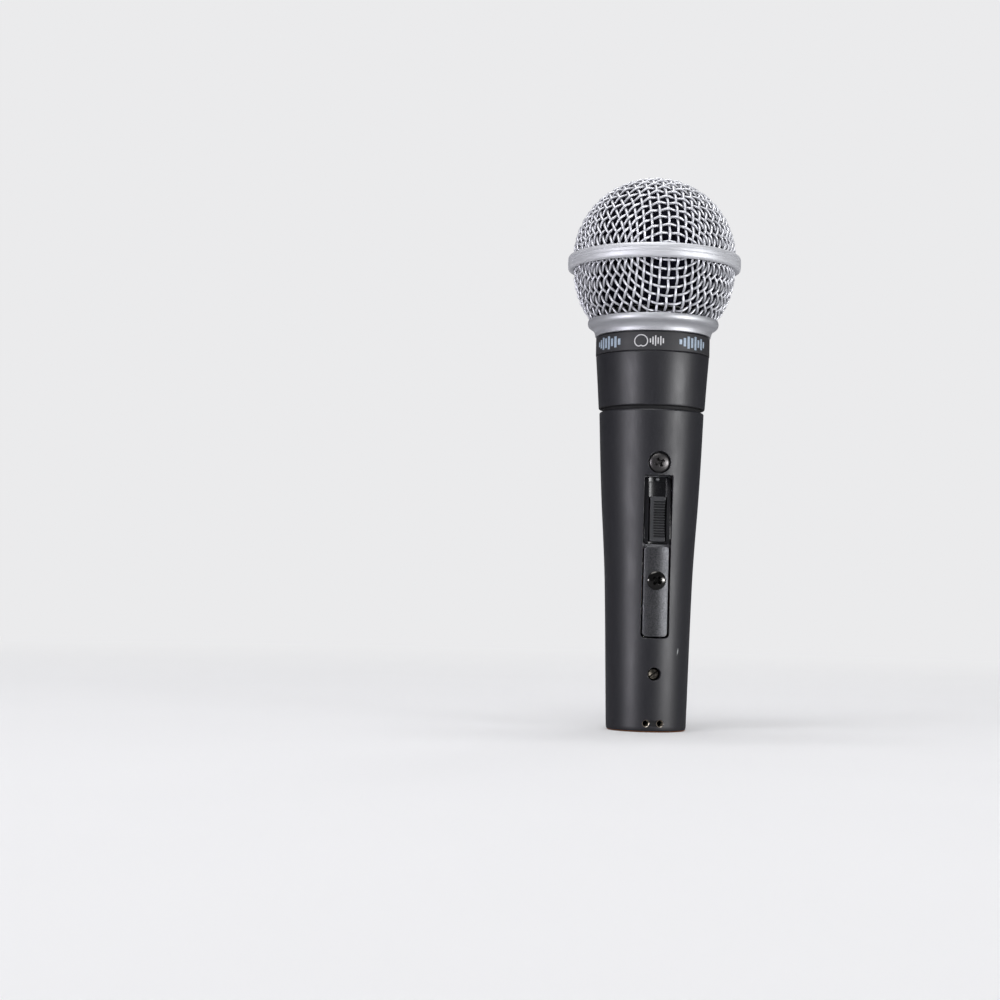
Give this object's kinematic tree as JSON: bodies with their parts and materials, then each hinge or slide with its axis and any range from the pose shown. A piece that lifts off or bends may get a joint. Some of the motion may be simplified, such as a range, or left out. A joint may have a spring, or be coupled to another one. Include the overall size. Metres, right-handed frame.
{
  "type": "dynamic microphone",
  "caption": "Handheld vocal dynamic microphone with a woven-wire ball grille, tapered metal handle, slide switch and recessed three-pin connector.",
  "frame": {"origin": "centre of the handle's flat connector-end face, at the bottom of the bounding box", "axes": "+Z along the microphone's long axis from the connector end to the top of the ball grille; the switch faces -Y; +X is to the right when looking at the switch"},
  "size_m": [0.0508, 0.0508, 0.162],
  "materials": {
    "handle_enamel": "dark charcoal satin enamel over die-cast zinc",
    "name_band_grey": null,
    "grille_wire": "bright satin woven steel wire",
    "grille_ring": "satin silver plate",
    "foam": "near-black open-cell foam",
    "black_plastic": "glossy black moulding",
    "slider_plastic": "matte dark grey moulding",
    "plate_metal": "thin satin dark grey enamel",
    "dark_steel": "dark satin steel",
    "black_screw": "glossy black oxide steel",
    "plain_steel": "plain steel",
    "magnet": "sintered magnet",
    "contact_silver": "silver-plated brass",
    "brass": "bare brass",
    "copper_winding": "enamelled copper winding",
    "insulator": "dark green moulded insulator",
    "grey_plastic": "grey moulding",
    "aluminium": "plain aluminium",
    "rubber": "soft black rubber",
    "cloth": "fine woven acoustic cloth",
    "felt": "pale felt",
    "film": "clear polyester film",
    "fibre_board": "brown phenolic board",
    "lead_red": "red insulation",
    "lead_black": "black insulation",
    "lead_yellow": "yellow insulation"
  },
  "bodies": {
    "handle": {"handle_shell": "handle_enamel", "head_housing": "handle_enamel", "name_band": "name_band_grey", "switch_bezel": "black_plastic", "transformer_bobbin": "black_plastic", "switch_plate": "plate_metal", "switch_top_screw": "dark_steel", "connector_set_screw": "dark_steel", "switch_plate_screw": "black_screw", "switch_case": "plain_steel", "transformer_core": "plain_steel", "xlr_pin_1": "contact_silver", "xlr_pin_2": "contact_silver", "xlr_pin_3": "contact_silver", "xlr_ground_contact": "contact_silver", "switch_terminal_1": "brass", "switch_terminal_2": "brass", "switch_terminal_3": "brass", "transformer_coil": "copper_winding", "xlr_insert": "insulator", "mount_ring": "aluminium", "shock_mount": "rubber", "transformer_mount": "rubber", "switch_base": "fibre_board", "capsule_lead_hot": "lead_red", "output_lead_2": "lead_red", "capsule_lead_cold": "lead_black", "output_lead_3": "lead_black", "switch_lead_a": "lead_yellow", "switch_lead_b": "lead_yellow"},
    "switch_slide": {"switch_slider": "slider_plastic", "switch_carriage": "fibre_board", "switch_bridge": "brass"},
    "capsule": {"rear_chamber": "aluminium", "damping_felt": "felt", "terminal_board": "fibre_board", "terminal_lug_hot": "brass", "terminal_lug_cold": "brass", "capsule_housing": "black_plastic", "side_port_cloth": "cloth", "magnet_cup": "plain_steel", "magnet": "magnet", "pole_piece": "plain_steel", "top_plate": "plain_steel", "front_cloth": "cloth", "resonator_cap": "grey_plastic"},
    "moving_coil": {"diaphragm": "film", "voice_coil": "copper_winding"},
    "windscreen": {"foam_windscreen": "foam"},
    "grille": {"grille_dome_mesh": "grille_wire", "grille_bowl_mesh": "grille_wire", "grille_band": "grille_ring", "grille_collar": "grille_ring"}
  },
  "joints": [
    {"name": "switch_slide", "type": "slide", "parent": "handle", "child": "switch_slide", "axis": [0, 0, 1], "range_m": [0, 0.004]},
    {"name": "capsule_float", "type": "slide", "parent": "handle", "child": "capsule", "axis": [0, 0, 1], "range_m": [-0.0006, 0.0006], "stiffness_N_per_m": 2500, "deforming": ["shock_mount", "capsule_lead_hot", "capsule_lead_cold"]},
    {"name": "diaphragm_travel", "type": "slide", "parent": "capsule", "child": "moving_coil", "axis": [0, 0, 1], "range_m": [-0.0002, 0.0002], "stiffness_N_per_m": 150},
    {"name": "grille_lift", "type": "slide", "parent": "handle", "child": "windscreen", "axis": [0, 0, 1], "range_m": [0, 0.00352]},
    {"name": "grille_unscrew", "type": "hinge", "parent": "windscreen", "child": "grille", "pos_m": [0, 0, 0.1187], "axis": [0, 0, 1], "range_deg": [0, 1350]}
  ],
  "couplings": [
    {"joint": "grille_unscrew", "follows": "grille_lift", "rad_per_m": 6684.2}
  ]
}
